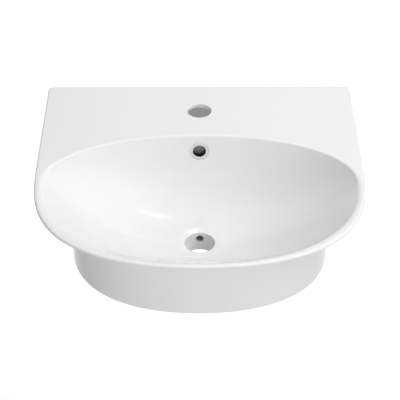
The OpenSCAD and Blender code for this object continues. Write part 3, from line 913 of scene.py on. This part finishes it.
white_nylon = moulded_nylon("moulded_white_nylon", "#DEDDD8", "#E6E5E1", 0.42)
bush_start = PLUG_LIP + BOLT_PLAY
bush_face = boss_face + BUSH_FLANGE_T
bush_line = [
    (FIXING_BORE_R + 0.4, bush_face), (BUSH_FLANGE_R - 0.7, bush_face),
    (BUSH_FLANGE_R - 0.2, bush_face - 0.2), (BUSH_FLANGE_R, bush_face - 0.7),
    (BUSH_FLANGE_R, boss_face + 0.2), (BUSH_FLANGE_R - 0.2, boss_face), (BUSH_R, boss_face),
    (BUSH_R, bush_start + 0.5), (BUSH_R - 0.5, bush_start), (FIXING_BORE_R + 0.2, bush_start),
    (FIXING_BORE_R, bush_start + 0.2), (FIXING_BORE_R, bush_face - 0.4)]
for side, hand in SIDES:
    bush = turned("bush_" + hand + "_moulding", bush_line, 72, at_bolt(side), True)
    fitted(bush, white_nylon, "bush_" + hand)

# Washers
# Plain steel washers, punched and zinc plated. The punch rounds one edge and leaves the other crisp.
WASHER_R = 12
WASHER_T = 2

washer_face = bush_face + WASHER_T
washer_line = [
    (FIXING_BORE_R + 0.3, washer_face), (WASHER_R - 0.5, washer_face),
    (WASHER_R - 0.15, washer_face - 0.15), (WASHER_R, washer_face - 0.5),
    (WASHER_R, bush_face + 0.1), (WASHER_R - 0.1, bush_face), (FIXING_BORE_R + 0.1, bush_face),
    (FIXING_BORE_R, bush_face + 0.1), (FIXING_BORE_R, washer_face - 0.3)]
for side, hand in SIDES:
    washer = turned("washer_" + hand + "_steel", washer_line, 72, at_bolt(side), True)
    fitted(washer, zinc, "washer_" + hand)

# Nuts
# Hexagon nuts, 17 mm across flats, cold formed and zinc plated. Each has its corners turned down on both
# faces and a countersunk thread.
NUT_W = 17
NUT_T = 8.4
NUT_CORNER_R = NUT_W / math.sqrt(3)
CORNER_DROP = 1.2  # height that the turned corners fall below the face

nut_face = washer_face + NUT_T
turning_line = [
    (NUT_W / 2 - 0.3, nut_face), (NUT_CORNER_R + 0.3, nut_face - CORNER_DROP),
    (NUT_CORNER_R + 0.3, washer_face + CORNER_DROP), (NUT_W / 2 - 0.3, washer_face)]
thread_line = [
    (FIXING_BORE_R + 1.4, nut_face + 0.4), (FIXING_BORE_R, nut_face - 1),
    (FIXING_BORE_R, washer_face + 1), (FIXING_BORE_R + 1.4, washer_face - 0.4)]
for side, hand in SIDES:
    nut = rod("nut_" + hand + "_steel", NUT_CORNER_R, washer_face, nut_face, at_bolt(side), 6)
    join_or_cut(nut, turned("turning", turning_line, 96, at_bolt(side)), "INTERSECT")
    join_or_cut(nut, turned("thread", thread_line, 96, at_bolt(side)), "DIFFERENCE")
    fitted(nut, zinc, "nut_" + hand)

# Floor
# A plain pale studio floor, 850 mm under the rim, where a basin hangs at its usual height. The eye and the
# reflections see it as white paper with the basin's soft shadow, and from below they see through it.
FLOOR_DROP = 850
FLOOR_HALF = 4000  # half the width of the sheet
FLOOR_LIT = 0.41  # brightness of the bare floor where the lamps light it most
LIT_MIDDLE = (0, -800, RIM_Z - FLOOR_DROP)  # the place on the floor where that is
LIT_SPREAD = 2.2  # distance from there, in metres, at which that brightness has halved


def to_the_eye(tree):
    """1 on rays that end in the eye, straight, mirrored or through glass, and 0 on rays of light."""
    way = add_node(tree, "ShaderNodeLightPath")
    seen = add_node(
        tree, "ShaderNodeMath", links={0: way.outputs["Is Camera Ray"], 1: way.outputs["Is Glossy Ray"]},
        operation="MAXIMUM")
    seen = add_node(
        tree, "ShaderNodeMath", links={0: seen.outputs[0], 1: way.outputs["Is Transmission Ray"]},
        operation="MAXIMUM")
    return seen.outputs[0]


def white_paper():
    """Seamless white paper: matt, and lifted for the eye by what the lamps leave short of white."""
    material, tree = new_material("white_paper")
    paper = add_node(tree, "ShaderNodeBsdfDiffuse", {"Color": linear("#BEBEBE")})
    place = add_node(tree, "ShaderNodeNewGeometry")
    away = add_node(
        tree, "ShaderNodeVectorMath", {1: metres(LIT_MIDDLE)}, {0: place.outputs["Position"]},
        operation="DISTANCE")
    share = add_node(
        tree, "ShaderNodeMath", {1: LIT_SPREAD}, {0: away.outputs["Value"]}, operation="DIVIDE")
    share = add_node(tree, "ShaderNodeMath", {1: 2.0}, {0: share.outputs[0]}, operation="POWER")
    share = add_node(tree, "ShaderNodeMath", {1: 1.0}, {0: share.outputs[0]}, operation="ADD")
    lit = add_node(tree, "ShaderNodeMath", {0: FLOOR_LIT}, {1: share.outputs[0]}, operation="DIVIDE")
    short = add_node(tree, "ShaderNodeMath", {0: 1.0}, {1: lit.outputs[0]}, operation="SUBTRACT")
    lift = add_node(
        tree, "ShaderNodeMath", links={0: short.outputs[0], 1: to_the_eye(tree)}, operation="MULTIPLY")
    glow = add_node(
        tree, "ShaderNodeEmission", {"Color": linear("#FFFFFF")}, {"Strength": lift.outputs[0]})
    top = add_node(tree, "ShaderNodeAddShader", links={0: paper.outputs[0], 1: glow.outputs[0]})
    clear = add_node(tree, "ShaderNodeBsdfTransparent")
    sheet = add_node(
        tree, "ShaderNodeMixShader",
        links={0: place.outputs["Backfacing"], 1: top.outputs[0], 2: clear.outputs[0]})
    add_node(tree, "ShaderNodeOutputMaterial", links={"Surface": sheet.outputs[0]})
    return material


floor_z = RIM_Z - FLOOR_DROP
floor = mesh_of("floor", [
    metres((x * FLOOR_HALF, y * FLOOR_HALF, floor_z)) for x, y in ((-1, -1), (1, -1), (1, 1), (-1, 1))],
    [(0, 1, 2, 3)])
floor.data.materials.append(white_paper())

# Light
# Four large soft lamps as in a product studio: one low in front, the key high at the front right, one above
# the right side and one above and behind. A pale room gives the rest. A small softbox high at the back puts
# the one bright line on the glaze.
ROOM = 0.12  # strength of the pale room as light, where 1 is the white that the eye sees
LAMP_RUN = 2500  # distance of each lamp from the middle of the basin
LAMP_SIZE = 2000


def lamp(name, turn, rise, watts, size=(LAMP_SIZE, LAMP_SIZE), roll=0.0, mirrored=False):
    """A soft lamp that faces the basin, by its direction round from the right and up.

    Only a mirrored lamp shows in the glaze. For the others the white room shows in their place.
    """
    light = bpy.data.lights.new(name, "AREA")
    light.shape = "RECTANGLE"
    light.size, light.size_y = size[0] / 1000, size[1] / 1000
    light.energy = watts
    piece = bpy.data.objects.new(name, light)
    piece.visible_glossy = mirrored
    turn, rise = math.radians(turn), math.radians(rise)
    towards = Vector((math.cos(rise) * math.cos(turn), math.cos(rise) * math.sin(turn), math.sin(rise)))
    piece.location = metres((0, -BASIN_D / 2, 0)) + towards * LAMP_RUN / 1000
    facing = towards.to_track_quat("Z", "Y").to_matrix() @ Matrix.Rotation(math.radians(roll), 3, "Z")
    piece.rotation_euler = facing.to_euler()
    bpy.context.scene.collection.objects.link(piece)


lamp("front_lamp", -90, 12, 30.7)
lamp("key_lamp", -45, 36, 17.8)
lamp("side_lamp", 0, 60, 33.7)
lamp("back_lamp", 90, 60, 20.2)
lamp("strip_lamp", 72, 53, 1.9, (1000, 200), -14, True)

room = bpy.data.worlds.new("room")
room.use_nodes = True
tree = room.node_tree
tree.nodes.clear()
strength = add_node(tree, "ShaderNodeMapRange", {"To Min": ROOM, "To Max": 1.0}, {"Value": to_the_eye(tree)})
sky = add_node(
    tree, "ShaderNodeBackground", {"Color": linear("#FFFFFF")}, {"Strength": strength.outputs["Result"]})
add_node(tree, "ShaderNodeOutputWorld", links={"Surface": sky.outputs[0]})
bpy.context.scene.world = room
bpy.context.scene.view_settings.view_transform = "Standard"
